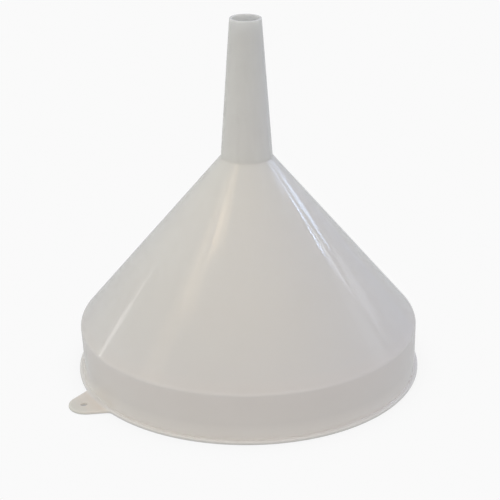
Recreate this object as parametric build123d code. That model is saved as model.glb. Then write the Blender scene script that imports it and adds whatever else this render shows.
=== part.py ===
from build123d import *
from math import atan2, cos, hypot, tan
import os

# A plastic funnel, standing upside down on its rim with the spout upwards.
#
# Millimetres.  The origin is the centre of the rim's resting face, +Z runs up the axis to the
# tip of the spout, and +X runs through the hanging tab.
#
# The real funnel is one injection moulding of even wall thickness.  One section of its wall is
# revolved in four bands, from the rim to the spout, that meet face to face on level planes, and
# the tab joins the rim.  Every dimension below is an outside one unless it says otherwise.

OVERALL_HEIGHT = 260.0
RIM_DIAMETER = 250.0
RIM_THICKNESS = 2.4
COLLAR_DIAMETER = 245.2
COLLAR_HEIGHT = 36.5        # from the resting face to where collar and cone would meet
THROAT_DIAMETER = 36.6      # where cone and spout would meet
SPOUT_LENGTH = 98.8         # from the throat to the tip
TIP_DIAMETER = 22.2
WALL = 1.8

SHOULDER_FILLET = 4.0       # collar into cone
THROAT_FILLET = 3.0         # cone into spout
RIM_EDGE = 0.9              # rounding of the rim's outer edges
RIM_ROOT = 0.7              # fillet between rim and collar
LIP_EDGE = 0.45             # rounding of the mouth's inner edge and the tip's edges

TAB_REACH = 145.5           # from the axis to the end of the tab
TAB_END_RADIUS = 12.8
TAB_ROOT_WIDTH = 37.0
TAB_ROOT_RADIUS = 122.0     # how far from the axis the tab is that wide
TAB_FILLET = 4.0            # between the tab's sides and the rim, seen from above
TAB_THICKNESS = 2.1
TAB_EDGE = 0.4
HOLE_DIAMETER = 4.5
HOLE_INSET = 10.5           # from the end of the tab to the middle of its hole

RIM_R = RIM_DIAMETER / 2
COLLAR_R = COLLAR_DIAMETER / 2
THROAT_R = THROAT_DIAMETER / 2
TIP_R = TIP_DIAMETER / 2
MOUTH_R = COLLAR_R - WALL
THROAT_HEIGHT = OVERALL_HEIGHT - SPOUT_LENGTH

CONE_SLOPE = atan2(COLLAR_R - THROAT_R, THROAT_HEIGHT - COLLAR_HEIGHT)
SPOUT_SLOPE = atan2(THROAT_R - TIP_R, SPOUT_LENGTH)

# The level planes where one band ends and the next begins, each at the end of a fillet.
RIM_TOP = RIM_THICKNESS + RIM_ROOT
COLLAR_TOP = COLLAR_HEIGHT - SHOULDER_FILLET * tan(CONE_SLOPE / 2)
THROAT_RUN = THROAT_FILLET * tan((CONE_SLOPE - SPOUT_SLOPE) / 2)
CONE_TOP = THROAT_HEIGHT + THROAT_RUN * cos(SPOUT_SLOPE)

TAB_SEAM_R = RIM_R - RIM_EDGE
TAB_END_X = TAB_REACH - TAB_END_RADIUS
HOLE_X = TAB_REACH - HOLE_INSET
MARGIN = 5.0                # how far a cutting shape runs past what it cuts


def inward_normal(low, high):
    """Points from a rising run of the outer wall towards the hollow."""
    along = (high - low).normalized()
    return Vector(-along.Y, along.X)


def inner_corner(below, corner, above):
    """The corner of the inner wall, one wall thickness behind a corner of the outer wall."""
    first = inward_normal(below, corner)
    second = inward_normal(corner, above)
    return corner + (first + second) * (WALL / (1 + first.dot(second)))


def wall_section():
    """Half of the funnel's wall cut through its axis, as radius and height."""
    foot = Vector(COLLAR_R, RIM_THICKNESS)
    shoulder = Vector(COLLAR_R, COLLAR_HEIGHT)
    throat = Vector(THROAT_R, THROAT_HEIGHT)
    tip = Vector(TIP_R, OVERALL_HEIGHT)
    corners = [
        (Vector(MOUTH_R, 0), LIP_EDGE),
        (Vector(RIM_R, 0), RIM_EDGE),
        (Vector(RIM_R, RIM_THICKNESS), RIM_EDGE),
        (foot, RIM_ROOT),
        (shoulder, SHOULDER_FILLET),
        (throat, THROAT_FILLET),
        (tip, LIP_EDGE),
        (tip - Vector(WALL / cos(SPOUT_SLOPE), 0), LIP_EDGE),
        (inner_corner(shoulder, throat, tip), THROAT_FILLET + WALL),
        (inner_corner(foot, shoulder, throat), SHOULDER_FILLET - WALL),
    ]
    points = [point for point, _ in corners]
    radii = [radius for _, radius in corners]
    return make_face(FilletPolyline(*points, radius=radii, close=True))


def revolved_band(low, high):
    """The part of the wall between two heights, all the way round."""
    window = Pos(RIM_R / 2, (low + high) / 2) * Rectangle(RIM_R + MARGIN, high - low)
    return revolve(Plane.XZ * (wall_section() & window), Axis.Z)


def tab_plan():
    """The tab from above, with the short stretch of rim that its fillets run into."""
    end = Pos(TAB_END_X, 0) * Circle(TAB_END_RADIUS)
    half = TAB_ROOT_WIDTH / 2
    root = Line((TAB_ROOT_RADIUS, -half), (TAB_ROOT_RADIUS, half))
    outline = Circle(RIM_R) + make_hull(end.edges() + root.edges())
    corners = [v for v in outline.vertices() if abs(hypot(v.X, v.Y) - RIM_R) < 0.01]
    outline = fillet([v for v in corners if v.X > 0 and abs(v.Y) > 1], TAB_FILLET)
    width = TAB_ROOT_WIDTH + 2 * TAB_FILLET
    window = Pos(RIM_R, 0) * Rectangle(TAB_REACH, width)
    return (outline & window) - Circle(TAB_SEAM_R)


def hanging_tab():
    """A flat tongue level with the resting face, with a round hole near its end."""
    blank = extrude(tab_plan(), TAB_THICKNESS)
    seam = RIM_R + TAB_EDGE
    free = [e for e in blank.edges().filter_by(Plane.XY) if edge_reach(e) > seam]
    blank = fillet(free, TAB_EDGE)
    return blank - Pos(HOLE_X, 0) * Cylinder(HOLE_DIAMETER / 2, RIM_DIAMETER)


def edge_reach(edge):
    """How far the middle of an edge is from the axis."""
    middle = edge @ 0.5
    return hypot(middle.X, middle.Y)


def rim_flange():
    """The flat ring that the funnel stands on, without the stretch that belongs to the tab."""
    socket = extrude(tab_plan(), RIM_THICKNESS + MARGIN)
    return revolved_band(0, RIM_TOP) - Pos(0, 0, -MARGIN / 2) * socket


NODES = {
    "rim_flange": rim_flange(),
    "hanging_tab": hanging_tab(),
    "collar": revolved_band(RIM_TOP, COLLAR_TOP),
    "cone": revolved_band(COLLAR_TOP, CONE_TOP),
    "spout": revolved_band(CONE_TOP, OVERALL_HEIGHT),
}

os.makedirs("parts", exist_ok=True)
for name, shape in NODES.items():
    export_step(shape, f"parts/{name}.step")
    print(name, "volume", round(shape.volume), "mm3")
print("collar top", round(COLLAR_TOP, 3), "cone top", round(CONE_TOP, 3))
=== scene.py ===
from collections import namedtuple
from math import acos, atan2, ceil, cos, pi, radians, sin, sqrt, tan

import bmesh
import bpy
import numpy as np
from mathutils import Matrix, Vector


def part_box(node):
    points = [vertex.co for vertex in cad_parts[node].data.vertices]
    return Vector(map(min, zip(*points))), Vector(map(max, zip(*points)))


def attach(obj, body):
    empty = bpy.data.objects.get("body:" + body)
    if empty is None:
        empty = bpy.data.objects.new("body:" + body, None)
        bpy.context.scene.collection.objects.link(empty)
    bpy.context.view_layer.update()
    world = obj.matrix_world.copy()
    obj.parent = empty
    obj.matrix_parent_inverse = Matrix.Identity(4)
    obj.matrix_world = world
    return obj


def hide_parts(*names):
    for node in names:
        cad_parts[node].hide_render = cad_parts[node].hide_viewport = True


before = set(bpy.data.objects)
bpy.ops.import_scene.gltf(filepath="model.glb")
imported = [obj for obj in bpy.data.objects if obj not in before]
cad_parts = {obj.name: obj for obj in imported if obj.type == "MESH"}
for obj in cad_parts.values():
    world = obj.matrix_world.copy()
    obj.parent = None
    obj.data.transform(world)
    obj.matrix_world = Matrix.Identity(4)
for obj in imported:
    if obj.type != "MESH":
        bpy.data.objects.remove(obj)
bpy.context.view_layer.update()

# A milky plastic funnel, standing upside down on its rim.  Metres: the origin is the centre of
# the resting face, +Z goes up the spout and +X through the hanging tab.
# The real funnel is a single moulding, so one closed skin stands for all of the CAD nodes.

MM = 0.001

# Sizes that the CAD frame gives.
RIM_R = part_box("rim_flange")[1].y
COLLAR_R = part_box("collar")[1].x
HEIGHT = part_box("spout")[1].z
TAB_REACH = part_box("hanging_tab")[1].x
TAB_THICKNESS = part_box("hanging_tab")[1].z

# Sizes inside the frame's boxes.
WALL = 1.8 * MM
RIM_THICKNESS = 2.4 * MM
COLLAR_HEIGHT = 36.5 * MM       # where the collar and the cone would meet
THROAT_HEIGHT = 161.2 * MM      # where the cone and the spout would meet
THROAT_R = 18.3 * MM
TIP_R = 11.1 * MM
SHOULDER_FILLET = 4 * MM
THROAT_FILLET = 3 * MM
RIM_EDGE = 0.9 * MM
RIM_ROOT = 0.7 * MM
LIP_EDGE = 0.45 * MM
TAB_END_R = 12.8 * MM
TAB_ROOT_HALF = 18.5 * MM       # half the tab's width where it reaches the collar
TAB_ROOT_X = 122 * MM
TAB_FILLET = 4 * MM
TAB_THINS_OVER = 4 * MM         # how far past the rim the tab takes to reach its own thickness
HOLE_R = 2.25 * MM
HOLE_INSET = 10.5 * MM
HOLE_EDGE = 0.4 * MM
HOLE_FLARE = radians(40)        # how steeply the hole's cutter leaves the hole's rounded edges
HOLE_FLARE_LENGTH = 2 * MM
HOLE_SIDES = 48
SHARP_ANGLE = radians(30)       # an edge that turns further than this stays crisp

TAB_END_X = TAB_REACH - TAB_END_R
HOLE_X = TAB_REACH - HOLE_INSET
FLANGE_R = COLLAR_R + RIM_ROOT  # the level part of the flange starts here

# How closely the skin's points are spaced.
CONE_SPACING = 5 * MM
SPOUT_SPACING = 6 * MM
COLLAR_SPACING = 4 * MM
FLANGE_SPACING = 0.13 * MM      # close, because the tab stretches these rows outwards
TAB_SPACING = 0.6 * MM
RIM_STEP = radians(1)
GUARD = 0.3 * MM                # rows this close to the fillets keep the runs between them smooth

Corner = namedtuple("Corner", "place fillet steps spacing")


# ---------------------------------------------------------------- shape

def unit(vector):
    return vector / np.linalg.norm(vector)


def corner_arc(before, corner, after):
    """The points of a corner's fillet, or the corner itself where it has none."""
    if corner.fillet == 0:
        return [corner.place]
    to_before = unit(before - corner.place)
    to_after = unit(after - corner.place)
    half = acos(to_before @ to_after) / 2
    centre = corner.place + unit(to_before + to_after) * corner.fillet / sin(half)
    start = corner.place + to_before * corner.fillet / tan(half) - centre
    end = corner.place + to_after * corner.fillet / tan(half) - centre
    turn = pi - 2 * half
    shares = np.linspace(0, 1, corner.steps + 1)
    return [centre + (start * sin((1 - t) * turn) + end * sin(t * turn)) / sin(turn) for t in shares]


def run_shares(length, spacing):
    """Where the rows stand along a straight run, as shares of its length."""
    steps = max(1, ceil(length / spacing))
    shares = [k / steps for k in range(1, steps)]
    if spacing > 2 * GUARD and length > 4 * GUARD:
        shares = [GUARD / length, *shares, 1 - GUARD / length]
    return shares


def rounded_loop(corners):
    """Points round a closed section: an arc at each corner, and even steps on each run."""
    places = [corner.place for corner in corners]
    befores = places[-1:] + places[:-1]
    afters = places[1:] + places[:1]
    arcs = [corner_arc(*three) for three in zip(befores, corners, afters)]
    points = []
    for corner, arc, following in zip(corners, arcs, arcs[1:] + arcs[:1]):
        run = following[0] - arc[-1]
        shares = run_shares(np.linalg.norm(run), corner.spacing)
        points.extend(arc)
        points.extend(arc[-1] + run * share for share in shares)
    return np.array(points)


def inner_corner(below, corner, above):
    """The corner of the inner wall, one wall thickness behind a corner of the outer wall."""
    along_first = unit(corner - below)
    along_second = unit(above - corner)
    first = np.array([-along_first[1], along_first[0]])
    second = np.array([-along_second[1], along_second[0]])
    return corner + (first + second) * WALL / (1 + first @ second)


def wall_section():
    """The funnel's wall cut through its axis: points of radius and height, round the section."""
    foot = np.array([COLLAR_R, RIM_THICKNESS])
    shoulder = np.array([COLLAR_R, COLLAR_HEIGHT])
    throat = np.array([THROAT_R, THROAT_HEIGHT])
    tip = np.array([TIP_R, HEIGHT])
    spout_slope = atan2(THROAT_R - TIP_R, HEIGHT - THROAT_HEIGHT)
    inner_tip = tip - np.array([WALL / cos(spout_slope), 0])
    inner_throat = inner_corner(shoulder, throat, tip)
    inner_shoulder = inner_corner(foot, shoulder, throat)
    corners = [
        Corner(np.array([COLLAR_R - WALL, 0]), LIP_EDGE, 3, COLLAR_SPACING),
        Corner(np.array([FLANGE_R, 0]), 0, 0, FLANGE_SPACING),
        Corner(np.array([RIM_R, 0]), RIM_EDGE, 5, COLLAR_SPACING),
        Corner(np.array([RIM_R, RIM_THICKNESS]), RIM_EDGE, 5, FLANGE_SPACING),
        Corner(foot, RIM_ROOT, 4, COLLAR_SPACING),
        Corner(shoulder, SHOULDER_FILLET, 8, CONE_SPACING),
        Corner(throat, THROAT_FILLET, 8, SPOUT_SPACING),
        Corner(tip, LIP_EDGE, 4, SPOUT_SPACING),
        Corner(inner_tip, LIP_EDGE, 4, SPOUT_SPACING),
        Corner(inner_throat, THROAT_FILLET + WALL, 8, CONE_SPACING),
        Corner(inner_shoulder, SHOULDER_FILLET - WALL, 6, COLLAR_SPACING),
    ]
    return rounded_loop(corners)


def arc_columns(centre, radius, start, end, outwards=1):
    """Places along an arc of the rim's outline, with the directions that face out of the plastic."""
    steps = max(2, ceil(radius * abs(end - start) / TAB_SPACING))
    angles = np.linspace(start, end, steps + 1)
    facing = np.column_stack([np.cos(angles), np.sin(angles)])
    return centre + radius * facing, outwards * facing


def tab_fillet_centre(beside, along):
    """The middle of the circle that touches the rim and one of the tab's sides from outside.

    It lies on the line through "beside" that runs along that side, one fillet away from it.
    """
    away = RIM_R + TAB_FILLET
    slope = beside @ along
    return beside - along * (sqrt(slope**2 - beside @ beside + away**2) + slope)


def half_tab_outline():
    """Half of the tab's outline from above, from its end to where its fillet meets the rim."""
    end = np.array([TAB_END_X, 0])
    root = np.array([TAB_ROOT_X, TAB_ROOT_HALF])
    from_end = root - end
    leaves_at = atan2(from_end[1], from_end[0]) - acos(TAB_END_R / np.linalg.norm(from_end))
    facing = np.array([cos(leaves_at), sin(leaves_at)])
    side_start = end + TAB_END_R * facing
    centre = tab_fillet_centre(side_start + TAB_FILLET * facing, unit(root - side_start))
    side_end = centre - TAB_FILLET * facing
    on_rim = centre * RIM_R / (RIM_R + TAB_FILLET)

    end_places, end_facing = arc_columns(end, TAB_END_R, 0, leaves_at)
    steps = ceil(np.linalg.norm(side_end - side_start) / TAB_SPACING)
    shares = np.linspace(0, 1, steps + 1)[1:-1, None]
    side_places = side_start + (side_end - side_start) * shares
    side_facing = np.repeat(facing[None], len(side_places), axis=0)
    first = atan2(*(side_end - centre)[::-1])
    last = atan2(*(on_rim - centre)[::-1])
    fillet_places, fillet_facing = arc_columns(centre, TAB_FILLET, first, last, outwards=-1)
    places = np.vstack([end_places, side_places, fillet_places])
    return places, np.vstack([end_facing, side_facing, fillet_facing])


def rim_outline():
    """The rim's outline from above, tab included: places and the directions facing outwards."""
    places, facing = half_tab_outline()
    flip = np.array([1, -1])
    joint = atan2(places[-1, 1], places[-1, 0])
    steps = round((2 * pi - 2 * joint) / RIM_STEP)
    angles = np.linspace(joint, 2 * pi - joint, steps + 1)[1:-1]
    round_facing = np.column_stack([np.cos(angles), np.sin(angles)])
    all_places = [places, round_facing * RIM_R, (places * flip)[:0:-1]]
    all_facing = [facing, round_facing, (facing * flip)[:0:-1]]
    return np.vstack(all_places), np.vstack(all_facing)


def smooth_step(share):
    """A share eased so that it sets in and levels off gently."""
    share = np.clip(share, 0, 1)
    return share * share * (3 - 2 * share)


def skin_points():
    """Every point of the skin as [column, row, xyz]; a column is the wall's section at an azimuth."""
    section = wall_section()
    radius, height = section[:, 0], section[:, 1]
    places, facing = rim_outline()
    azimuth = np.arctan2(places[:, 1], places[:, 0])
    radial = np.column_stack([np.cos(azimuth), np.sin(azimuth)])

    turned = radial[:, None] * radius[None, :, None]
    edge_start = RIM_R - RIM_EDGE
    share = np.clip((radius - FLANGE_R) / (edge_start - FLANGE_R), 0, 1)[None, :, None]
    inset = (RIM_R - np.maximum(radius, edge_start))[None, :, None]
    edge = places[:, None] - facing[:, None] * inset
    flange = radial[:, None] * FLANGE_R * (1 - share) + edge * share
    plan = np.where((radius > FLANGE_R)[None, :, None], flange, turned)

    past_rim = np.linalg.norm(plan, axis=2) - RIM_R
    thinner = 1 - (1 - TAB_THICKNESS / RIM_THICKNESS) * smooth_step(past_rim / TAB_THINS_OVER)
    rise = height[None, :] * thinner
    return np.dstack([plan, rise])


# The moulding isn't perfectly round: the thin wall is very slightly wavy, as wide shallow lobes
# that run along the cone, and the collar is pressed in at one side.  That dent is deepest a
# little above the rim and fades out towards the cone.
WAVES = (
    # lobes round the funnel, depth, drift of the lobes per metre of height, phase
    (5, 0.040 * MM, 3.0, 0.4),
    (17, 0.006 * MM, -9.0, 1.9),
    (41, 0.0015 * MM, 26.0, 4.0),
)
DENT_AZIMUTH = radians(-30.9)
DENT_WIDTH = radians(25)
DENT_DEPTH = 2 * MM
DENT_STARTS_OVER = 5 * MM       # the stretch above the rim in which the dent sets in


def wall_offset(azimuth, height):
    """How far the wall stands outwards of a true round."""
    offset = np.zeros_like(height)
    for lobes, depth, drift, phase in WAVES:
        offset += depth * np.sin(lobes * azimuth + drift * height + phase)
    turn = (azimuth - DENT_AZIMUTH + pi) % (2 * pi) - pi
    above_rim = smooth_step((height - RIM_THICKNESS) / DENT_STARTS_OVER)
    below_cone = np.clip(1 - height / COLLAR_HEIGHT, 0, 1)
    return offset - DENT_DEPTH * np.exp(-((turn / DENT_WIDTH) ** 2)) * above_rim * below_cone


def loop_faces(columns, rows):
    """Quads between neighbouring columns; both the columns and the rows close on themselves."""
    column, row = np.meshgrid(np.arange(columns), np.arange(rows), indexing="ij")
    next_column = (column + 1) % columns
    next_row = (row + 1) % rows
    corners = [(column, row), (next_column, row), (next_column, next_row), (column, next_row)]
    return np.dstack([c * rows + r for c, r in corners]).reshape(-1, 4)


def funnel_blank():
    """The whole funnel without its hanging hole."""
    points = skin_points()
    azimuth = np.arctan2(points[..., 1], points[..., 0])
    offset = wall_offset(azimuth, points[..., 2])
    points[..., 0] += offset * np.cos(azimuth)
    points[..., 1] += offset * np.sin(azimuth)
    faces = loop_faces(*points.shape[:2])
    mesh = bpy.data.meshes.new("funnel_moulding")
    mesh.from_pydata(points.reshape(-1, 3).tolist(), [], faces.tolist())
    turn_faces_outwards(mesh)
    piece = bpy.data.objects.new("funnel_moulding", mesh)
    bpy.context.scene.collection.objects.link(piece)
    return piece


def turn_faces_outwards(mesh):
    """Makes every face's normal point out of the plastic."""
    shape = bmesh.new()
    shape.from_mesh(mesh)
    bmesh.ops.recalc_face_normals(shape, faces=shape.faces)
    shape.to_mesh(mesh)
    shape.free()


def on_hole_edge(angle):
    """A point of the hole's rounded lower edge, as radius and height."""
    return HOLE_R + HOLE_EDGE * (1 - sin(angle)), HOLE_EDGE * (1 - cos(angle))


def hole_cutter():
    """A round bar that flares where it leaves the tab, so that the hole's edges are rounded."""
    side, rise = on_hole_edge(HOLE_FLARE)
    out = side + HOLE_FLARE_LENGTH * cos(HOLE_FLARE)
    low = [
        (out, rise - HOLE_FLARE_LENGTH * sin(HOLE_FLARE)),
        (side, rise),
        on_hole_edge(radians(65)),
        on_hole_edge(radians(90)),
    ]
    high = [(r, TAB_THICKNESS - z) for r, z in reversed(low)]
    angles = [2 * pi * k / HOLE_SIDES for k in range(HOLE_SIDES)]
    shape = bmesh.new()
    rings = []
    for r, z in low + high:
        rings.append([shape.verts.new((HOLE_X + r * cos(a), r * sin(a), z)) for a in angles])
    for ring, above in zip(rings, rings[1:]):
        for k in range(HOLE_SIDES):
            after = (k + 1) % HOLE_SIDES
            shape.faces.new((ring[k], ring[after], above[after], above[k]))
    shape.faces.new(rings[0][::-1])
    shape.faces.new(rings[-1])
    mesh = bpy.data.meshes.new("hole_cutter")
    shape.to_mesh(mesh)
    shape.free()
    cutter = bpy.data.objects.new("hole_cutter", mesh)
    bpy.context.scene.collection.objects.link(cutter)
    return cutter


def cut_hole(piece):
    """Cuts the hanging hole for good, so that no modifier or cutter is left behind."""
    cutter = hole_cutter()
    cut = piece.modifiers.new("hanging_hole", "BOOLEAN")
    cut.operation = "DIFFERENCE"
    cut.solver = "EXACT"
    cut.object = cutter
    bpy.context.view_layer.update()
    evaluated = piece.evaluated_get(bpy.context.evaluated_depsgraph_get())
    mesh = bpy.data.meshes.new_from_object(evaluated)
    piece.modifiers.clear()
    piece.data = mesh
    bpy.data.objects.remove(cutter)


def shade_smooth(piece):
    """Smooth shading everywhere but across sharp edges."""
    mesh = piece.data
    mesh.polygons.foreach_set("use_smooth", [True] * len(mesh.polygons))
    mesh.set_sharp_from_angle(angle=SHARP_ANGLE)


# ---------------------------------------------------------------- shader nodes

MIX_A, MIX_B = 6, 7             # the two colours among a mix node's inputs
MIX_RESULT = 2                  # and the mixed colour among its outputs


def add_node(tree, kind, **values):
    """Adds a node; values are its settings, or its inputs by name."""
    node = tree.nodes.new(kind)
    for name, value in values.items():
        if hasattr(node, name):
            setattr(node, name, value)
        else:
            node.inputs[name.replace("_", " ")].default_value = value
    return node


def feed(tree, socket, source):
    """Links an output to a socket, or sets the socket to a fixed value."""
    if isinstance(source, bpy.types.NodeSocket):
        tree.links.new(source, socket)
    else:
        socket.default_value = source


def maths(tree, operation, first, second):
    """One step of maths on two numbers, as a number output."""
    node = add_node(tree, "ShaderNodeMath", operation=operation)
    feed(tree, node.inputs[0], first)
    feed(tree, node.inputs[1], second)
    return node.outputs["Value"]


def vector_maths(tree, operation, first, second):
    """One step of maths on two vectors, as a vector output."""
    node = add_node(tree, "ShaderNodeVectorMath", operation=operation)
    feed(tree, node.inputs[0], first)
    feed(tree, node.inputs[1], second)
    return node.outputs["Vector"]


def scaled(tree, vector, share):
    """A vector times a number, as a vector output."""
    node = add_node(tree, "ShaderNodeVectorMath", operation="SCALE")
    feed(tree, node.inputs[0], vector)
    feed(tree, node.inputs["Scale"], share)
    return node.outputs["Vector"]


def vector_length(tree, vector):
    """How long a vector is, as a number output."""
    node = add_node(tree, "ShaderNodeVectorMath", operation="LENGTH")
    tree.links.new(vector, node.inputs[0])
    return node.outputs["Value"]


def remap(tree, value, source, target):
    """A number moved from one range to another and held inside it, as a number output."""
    node = tree.nodes.new("ShaderNodeMapRange")
    tree.links.new(value, node.inputs["Value"])
    for name, level in zip(("From Min", "From Max", "To Min", "To Max"), (*source, *target)):
        node.inputs[name].default_value = level
    return node.outputs["Result"]


def noise(tree, place, scale, detail, roughness):
    """Soft random patches, mostly between 0.3 and 0.7, as a number output."""
    node = add_node(tree, "ShaderNodeTexNoise", Scale=scale, Detail=detail, Roughness=roughness)
    tree.links.new(place, node.inputs["Vector"])
    return node.outputs["Fac"]


def empty_material(name):
    """A material with no nodes but its output, and that output's surface socket."""
    material = bpy.data.materials.new(name)
    material.use_nodes = True
    material.node_tree.nodes.clear()
    output = material.node_tree.nodes.new("ShaderNodeOutputMaterial")
    return material, output.inputs["Surface"]


# ---------------------------------------------------------------- plastic

IOR = 1.49
SCATTER_REACH = 9 * MM          # how far light spreads inside the plastic

# The colour drifts with height as painted light and shade: darker at the tip, on the collar and
# low on the rim, with a painted pale line at the foot of the collar.  From 14 mm up, these colours
# were worked out by a least-squares fit in another script and then rounded; the lower ones were
# chosen by hand.
COLOUR_AND_PAINTED_SHADING_BY_HEIGHT = (
    # height, colour
    (0 * MM, (0.600, 0.595, 0.590)),
    (1.6 * MM, (0.600, 0.595, 0.590)),
    (2.1 * MM, (0.755, 0.745, 0.740)),
    (3 * MM, (0.860, 0.845, 0.840)),
    (5 * MM, (0.780, 0.768, 0.765)),
    (14 * MM, (0.696, 0.685, 0.690)),
    (33 * MM, (0.698, 0.680, 0.690)),
    (45 * MM, (0.680, 0.685, 0.705)),
    (60 * MM, (0.690, 0.698, 0.712)),
    (80 * MM, (0.721, 0.726, 0.730)),
    (100 * MM, (0.757, 0.768, 0.772)),
    (120 * MM, (0.783, 0.792, 0.796)),
    (140 * MM, (0.810, 0.822, 0.810)),
    (160 * MM, (0.805, 0.820, 0.805)),
    (180 * MM, (0.815, 0.817, 0.815)),
    (205 * MM, (0.808, 0.810, 0.805)),
    (220 * MM, (0.780, 0.784, 0.772)),
    (235 * MM, (0.716, 0.716, 0.708)),
    (250 * MM, (0.630, 0.628, 0.620)),
    (260 * MM, (0.600, 0.600, 0.590)),
)
PAINTED_SHADE_BY_REACH = (
    # distance from the axis, share of that colour: painted shade, darker on the rim and darker and
    # browner on the tab
    (COLLAR_R + 0.6 * MM, (1.00, 1.00, 1.00)),
    (COLLAR_R + 1.2 * MM, (0.86, 0.85, 0.84)),
    (RIM_R, (0.86, 0.85, 0.84)),
    (RIM_R + 2.5 * MM, (0.87, 0.805, 0.745)),
    (TAB_REACH - 11 * MM, (0.86, 0.80, 0.74)),
    (TAB_REACH - 2 * MM, (0.80, 0.785, 0.73)),
)
# Painted shade in the hanging hole: the plastic's colour there is darkened.
PAINTED_HOLE_SHADE = 0.90                # share of that colour in the hanging hole
HOLE_FADES_OVER = 1.2 * MM
CLOUDS = 0.012                  # how far patches stand above and below that colour
ROUGHNESS = (0.045, 0.075)      # of the smoothest and of the dullest patches
GRAIN_STRENGTH = 0.04
GRAIN_DEPTH = 0.05 * MM

# Each noise: its scale in patches per metre, its detail and its roughness.
CLOUD_NOISE = (16, 3, 0.5)
GLOSS_NOISE = (60, 4, 0.6)
GRAIN_NOISE = (900, 2, 0.5)
NOISE_RANGE = (0.3, 0.7)        # where nearly all of a noise's values lie


def colour_along(tree, value, stops):
    """A colour that runs through the given stops as a distance grows, as a colour output."""
    start = stops[0][0]
    end = stops[-1][0]
    ramp = tree.nodes.new("ShaderNodeValToRGB")
    tree.links.new(remap(tree, value, (start, end), (0, 1)), ramp.inputs["Fac"])
    marks = ramp.color_ramp.elements
    marks.remove(marks[1])
    marks[0].position = 0
    marks[0].color = (*stops[0][1], 1)
    for distance, colour in stops[1:]:
        marks.new((distance - start) / (end - start)).color = (*colour, 1)
    return ramp.outputs["Color"]


def tint_with_painted_shading(tree, place):
    """The plastic's colour at each place, with painted light and shade, as a vector output."""
    parts = tree.nodes.new("ShaderNodeSeparateXYZ")
    tree.links.new(place, parts.inputs["Vector"])
    flat = tree.nodes.new("ShaderNodeCombineXYZ")
    tree.links.new(parts.outputs["X"], flat.inputs["X"])
    tree.links.new(parts.outputs["Y"], flat.inputs["Y"])
    reach = vector_length(tree, flat.outputs["Vector"])
    colour_and_shading_by_height = colour_along(tree, parts.outputs["Z"], COLOUR_AND_PAINTED_SHADING_BY_HEIGHT)
    shade_by_reach = colour_along(tree, reach, PAINTED_SHADE_BY_REACH)
    return vector_maths(tree, "MULTIPLY", colour_and_shading_by_height, shade_by_reach)


def painted_shade_at_hole(tree, place, least):
    """A share for painted shade: "least" in and below the hanging hole, and one away from it."""
    from_hole = vector_maths(tree, "SUBTRACT", place, (HOLE_X, 0, TAB_THICKNESS / 2))
    away = vector_length(tree, from_hole)
    return remap(tree, away, (HOLE_R, HOLE_R + HOLE_FADES_OVER), (least, 1))


def milky_plastic():
    """Plastic that light scatters inside, with faint patches, an uneven polish and a fine grain."""
    material, surface = empty_material("milky_plastic")
    tree = material.node_tree
    shader = tree.nodes.new("ShaderNodeBsdfPrincipled")
    tree.links.new(shader.outputs["BSDF"], surface)
    shader.inputs["IOR"].default_value = IOR
    shader.inputs["Subsurface Weight"].default_value = 1
    shader.inputs["Subsurface Radius"].default_value = (1, 1, 1)
    shader.inputs["Subsurface Scale"].default_value = SCATTER_REACH

    place = tree.nodes.new("ShaderNodeTexCoord").outputs["Object"]
    clouds = remap(tree, noise(tree, place, *CLOUD_NOISE), NOISE_RANGE, (1 - CLOUDS, 1 + CLOUDS))
    # The base colour carries painted light and shade by height and by distance from the axis.
    clouded = scaled(tree, tint_with_painted_shading(tree, place), clouds)
    # Painted shade darkens the plastic in the hanging hole.
    colour = scaled(tree, clouded, painted_shade_at_hole(tree, place, PAINTED_HOLE_SHADE))
    tree.links.new(colour, shader.inputs["Base Color"])

    roughness = remap(tree, noise(tree, place, *GLOSS_NOISE), NOISE_RANGE, ROUGHNESS)
    tree.links.new(roughness, shader.inputs["Roughness"])

    bump = add_node(tree, "ShaderNodeBump", Strength=GRAIN_STRENGTH, Distance=GRAIN_DEPTH)
    tree.links.new(noise(tree, place, *GRAIN_NOISE), bump.inputs["Height"])
    tree.links.new(bump.outputs["Normal"], shader.inputs["Normal"])
    return material


# ---------------------------------------------------------------- studio

CAMERA_AZIMUTH = radians(59.1)  # from the tab
CAMERA_REACH = 993.8 * MM       # from the axis
CAMERA_HEIGHT = 507.6 * MM
CAMERA_YAW = radians(0.10)      # to the right of the axis
CAMERA_PITCH = radians(22.84)   # down from level
CAMERA_ROLL = radians(-0.51)
FOCAL_LENGTH = 107.52           # millimetres, as the sensor
SENSOR_WIDTH = 36

FLOOR_R = 12                    # metres, well past the edges of the view
FLOOR_SIDES = 96
# The floor's light, its shade and the room's light came out of a least-squares fit in another
# script and were rounded; the room's light was then changed by hand.
FLOOR_LIGHT = (0.60, 0.61, 0.61)
SHADED_LIGHT = (0.32, 0.25, 0.19)   # of the floor under the funnel
SHADE_EDGE = 2 * MM
BACKDROP_WHITE = 0.955          # what the camera sees of the paper and of the room
# The floor below the hanging hole is darkened: a painted shadow of the tab.
PAINTED_SHADOW_UNDER_HOLE = 0.50               # share of that white on the floor below the hanging hole
CONTACT_SHADE_REACH = 50 * MM
CONTACT_SHADE_POWER = 4         # how fast the shade round the foot dies away

# Angles are degrees from the tab; the camera stands at 59.1, so its left is at -30.9.
ROOM_LIGHT = (0.445, 0.46, 0.46)
ROOM_GLOWS = (
    # azimuth, elevation, colour
    (-30.9, 20, (0.44, 0.45, 0.41)),
    (59.1, 25, (0.69, 0.61, 0.51)),
    (149.1, 20, (0.11, 0.13, 0.20)),
    (215, 30, (0.18, 0.19, 0.27)),
)
GLOW_FADE = 2                   # how fast a glow dies away from its direction
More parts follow.
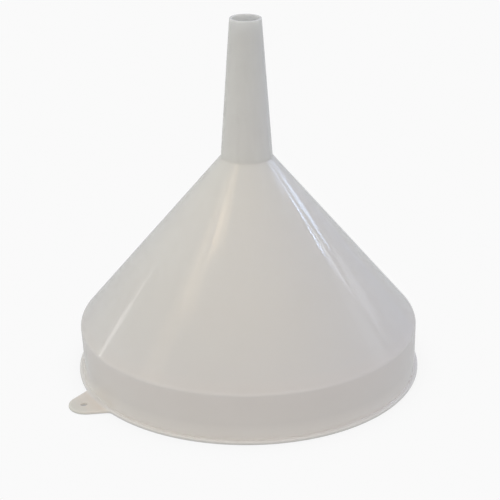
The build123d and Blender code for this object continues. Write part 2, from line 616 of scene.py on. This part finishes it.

# The lamps that the glossy wall mirrors: each shows on it as a streak, a soft patch or a glint.
# Most of them came out of least-squares fits in other scripts and were rounded, and some of
# those were then changed by hand.  The others were placed one by one.
MIDDLE = Vector((0, 0, 100 * MM))   # the place that they face
LAMP_DISTANCE = 9
WINDOW_BLUE = (0.54, 0.70, 1.0)
SILL_BLUE = (0.80, 0.86, 1.0)
LAMP_YELLOW = (1.0, 0.76, 0.47)
LAMP_WHITE = (1.0, 1.0, 0.97)
SOFTBOXES = (
    # name, azimuth, elevation, width, height, roll, radiance, colour
    ("near", 169.4, 26.88, 2.6, 1.15, -24, 7.6, WINDOW_BLUE),
    ("near_foot", 169.4, 25.83, 2.6, 0.95, -24, 2.3, WINDOW_BLUE),
    ("near_upper", 172.5, 27.9, 2.6, 3.2, -20, 7.2, WINDOW_BLUE),
    ("near_tail", 164.1, 33.3, 14.6, 1, -31, 1.7, WINDOW_BLUE),
    ("near_top", 173, 31.5, 7, 3, -15, 2.2, WINDOW_BLUE),
    ("between", 173.2, 26.6, 4.6, 3, -12, 1.4, WINDOW_BLUE),
    ("near_sill", 172.2, 24.0, 4, 2.8, 21, 2.2, SILL_BLUE),
    ("link", 180.8, 25.9, 4.5, 4.3, -3, 2.2, WINDOW_BLUE),
    ("far", 183.8, 20.3, 9.5, 3, -18, 4.3, WINDOW_BLUE),
    ("far_top", 188, 23.3, 9, 2.6, -12, 2.3, WINDOW_BLUE),
    ("far_end", 193.2, 15.7, 3.6, 1.4, -33, 2.9, WINDOW_BLUE),
    ("far_sill", 178.3, 18.1, 12.1, 2.6, -23, 0.8, SILL_BLUE),
    ("right_wall", 163.5, 25.2, 10.5, 4.4, -23, 0.45, SILL_BLUE),
    ("left_top", 2.2, 55.2, 14, 10.6, 27, 1.6, LAMP_YELLOW),
    ("left_bright", 0.1, 50, 6, 2, 25, 1.8, LAMP_YELLOW),
    ("left_middle", -10.2, 46, 12.2, 6.2, 23, 1.0, LAMP_YELLOW),
    ("left_low", -16.7, 38.3, 10.7, 13.9, -5, 0.55, LAMP_YELLOW),
    ("back_low", -57.8, 17.1, 5, 1.7, 0, 1.6, LAMP_WHITE),
    ("back_high", -58.2, 18.5, 4.6, 1.1, 0, 1.2, LAMP_WHITE),
    ("back_glint", -54, 12, 3, 5, 0, 14, LAMP_WHITE),
    ("back_wall", -54.7, 16.4, 20, 10, 8, 0.1, LAMP_WHITE),
)


def direction(azimuth, elevation):
    """The way to an azimuth and elevation in radians, as a unit vector."""
    return Vector((cos(elevation) * cos(azimuth), cos(elevation) * sin(azimuth), sin(elevation)))


def on_camera_rays(tree, others, seen):
    """A shader that is "seen" where the camera looks straight at it, and "others" in all light."""
    mix = tree.nodes.new("ShaderNodeMixShader")
    rays = tree.nodes.new("ShaderNodeLightPath")
    tree.links.new(rays.outputs["Is Camera Ray"], mix.inputs["Fac"])
    tree.links.new(others, mix.inputs[1])
    tree.links.new(seen, mix.inputs[2])
    return mix.outputs["Shader"]


def light_by_place(tree, place):
    """The floor's light: even, but weaker in the funnel's own shade, as a colour output."""
    reach = vector_length(tree, place)
    outside = remap(tree, reach, (COLLAR_R - SHADE_EDGE, COLLAR_R + SHADE_EDGE), (0, 1))
    light = add_node(tree, "ShaderNodeMix", data_type="RGBA")
    tree.links.new(outside, light.inputs["Factor"])
    light.inputs[MIX_A].default_value = (*SHADED_LIGHT, 1)
    light.inputs[MIX_B].default_value = (*FLOOR_LIGHT, 1)
    return light.outputs[MIX_RESULT]


def white_paper():
    """Paper lit from below to an even white, with a soft shade round what stands on it."""
    material, surface = empty_material("white_paper")
    tree = material.node_tree
    place = tree.nodes.new("ShaderNodeNewGeometry").outputs["Position"]
    paper = tree.nodes.new("ShaderNodeEmission")
    tree.links.new(light_by_place(tree, place), paper.inputs["Color"])

    contact = add_node(tree, "ShaderNodeAmbientOcclusion", Distance=CONTACT_SHADE_REACH)
    hidden = maths(tree, "SUBTRACT", 1, contact.outputs["AO"])
    shade = maths(tree, "POWER", hidden, CONTACT_SHADE_POWER)
    white = remap(tree, shade, (0, 1), (BACKDROP_WHITE, 0))
    burnt_out = tree.nodes.new("ShaderNodeEmission")
    # A painted shadow darkens the floor below the hanging hole.
    strength = maths(tree, "MULTIPLY", white, painted_shade_at_hole(tree, place, PAINTED_SHADOW_UNDER_HOLE))
    tree.links.new(strength, burnt_out.inputs["Strength"])
    shown = on_camera_rays(tree, paper.outputs["Emission"], burnt_out.outputs["Emission"])
    tree.links.new(shown, surface)
    return material


def add_floor():
    mesh = bpy.data.meshes.new("floor")
    shape = bmesh.new()
    bmesh.ops.create_circle(shape, cap_ends=True, segments=FLOOR_SIDES, radius=FLOOR_R)
    shape.to_mesh(mesh)
    shape.free()
    mesh.materials.append(white_paper())
    floor = bpy.data.objects.new("floor", mesh)
    bpy.context.scene.collection.objects.link(floor)


def glow(tree, view, azimuth, elevation, colour):
    """Light that fades smoothly away from one direction of the sky, as a vector output."""
    facing = add_node(tree, "ShaderNodeVectorMath", operation="DOT_PRODUCT")
    tree.links.new(view, facing.inputs[0])
    facing.inputs[1].default_value = direction(radians(azimuth), radians(elevation))
    ahead = maths(tree, "MAXIMUM", facing.outputs["Value"], 0)
    return scaled(tree, colour, maths(tree, "POWER", ahead, GLOW_FADE))


def add_sky():
    """A pale room: even light, warmer from the front and left, cooler from right and behind."""
    world = bpy.data.worlds.new("studio")
    world.use_nodes = True
    bpy.context.scene.world = world
    tree = world.node_tree
    tree.nodes.clear()
    view = tree.nodes.new("ShaderNodeTexCoord").outputs["Generated"]
    light = ROOM_LIGHT
    for azimuth, elevation, colour in ROOM_GLOWS:
        light = vector_maths(tree, "ADD", light, glow(tree, view, azimuth, elevation, colour))
    room = tree.nodes.new("ShaderNodeBackground")
    tree.links.new(light, room.inputs["Color"])
    backdrop = tree.nodes.new("ShaderNodeBackground")
    backdrop.inputs["Color"].default_value = (1, 1, 1, 1)
    backdrop.inputs["Strength"].default_value = BACKDROP_WHITE
    output = tree.nodes.new("ShaderNodeOutputWorld")
    surface = on_camera_rays(tree, room.outputs["Background"], backdrop.outputs["Background"])
    tree.links.new(surface, output.inputs["Surface"])


def add_softbox(name, azimuth, elevation, width, height, roll, radiance, colour):
    """A soft lamp that faces the funnel; its angles are degrees as seen from the funnel."""
    lamp = bpy.data.lights.new(name, "AREA")
    lamp.shape = "RECTANGLE"
    lamp.size = LAMP_DISTANCE * radians(width)
    lamp.size_y = LAMP_DISTANCE * radians(height)
    lamp.energy = radiance * pi * lamp.size * lamp.size_y
    lamp.color = colour
    softbox = bpy.data.objects.new(name, lamp)
    softbox.visible_camera = False
    towards = direction(radians(azimuth), radians(elevation))
    softbox.location = MIDDLE + towards * LAMP_DISTANCE
    facing = towards.to_track_quat("Z", "Y").to_matrix()
    softbox.rotation_euler = (facing @ Matrix.Rotation(radians(roll), 3, "Z")).to_euler()
    bpy.context.scene.collection.objects.link(softbox)


def add_lights():
    for softbox in SOFTBOXES:
        add_softbox(*softbox)


def add_camera():
    """A long lens that looks down at the funnel from its front."""
    lens = bpy.data.cameras.new("camera")
    lens.sensor_width = SENSOR_WIDTH
    lens.lens = FOCAL_LENGTH
    camera = bpy.data.objects.new("camera", lens)
    place = CAMERA_REACH * direction(CAMERA_AZIMUTH, 0)
    camera.location = (place.x, place.y, CAMERA_HEIGHT)
    heading = Matrix.Rotation(CAMERA_AZIMUTH + pi / 2 - CAMERA_YAW, 3, "Z")
    tilt = Matrix.Rotation(pi / 2 - CAMERA_PITCH, 3, "X") @ Matrix.Rotation(CAMERA_ROLL, 3, "Z")
    camera.rotation_euler = (heading @ tilt).to_euler()
    bpy.context.scene.collection.objects.link(camera)
    bpy.context.scene.camera = camera


funnel = funnel_blank()
cut_hole(funnel)
shade_smooth(funnel)
funnel.data.materials.clear()
funnel.data.materials.append(milky_plastic())
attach(funnel, "root")
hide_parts("rim_flange", "hanging_tab", "collar", "cone", "spout")

add_floor()
add_sky()
add_lights()
add_camera()
bpy.context.scene.view_settings.view_transform = "Standard"
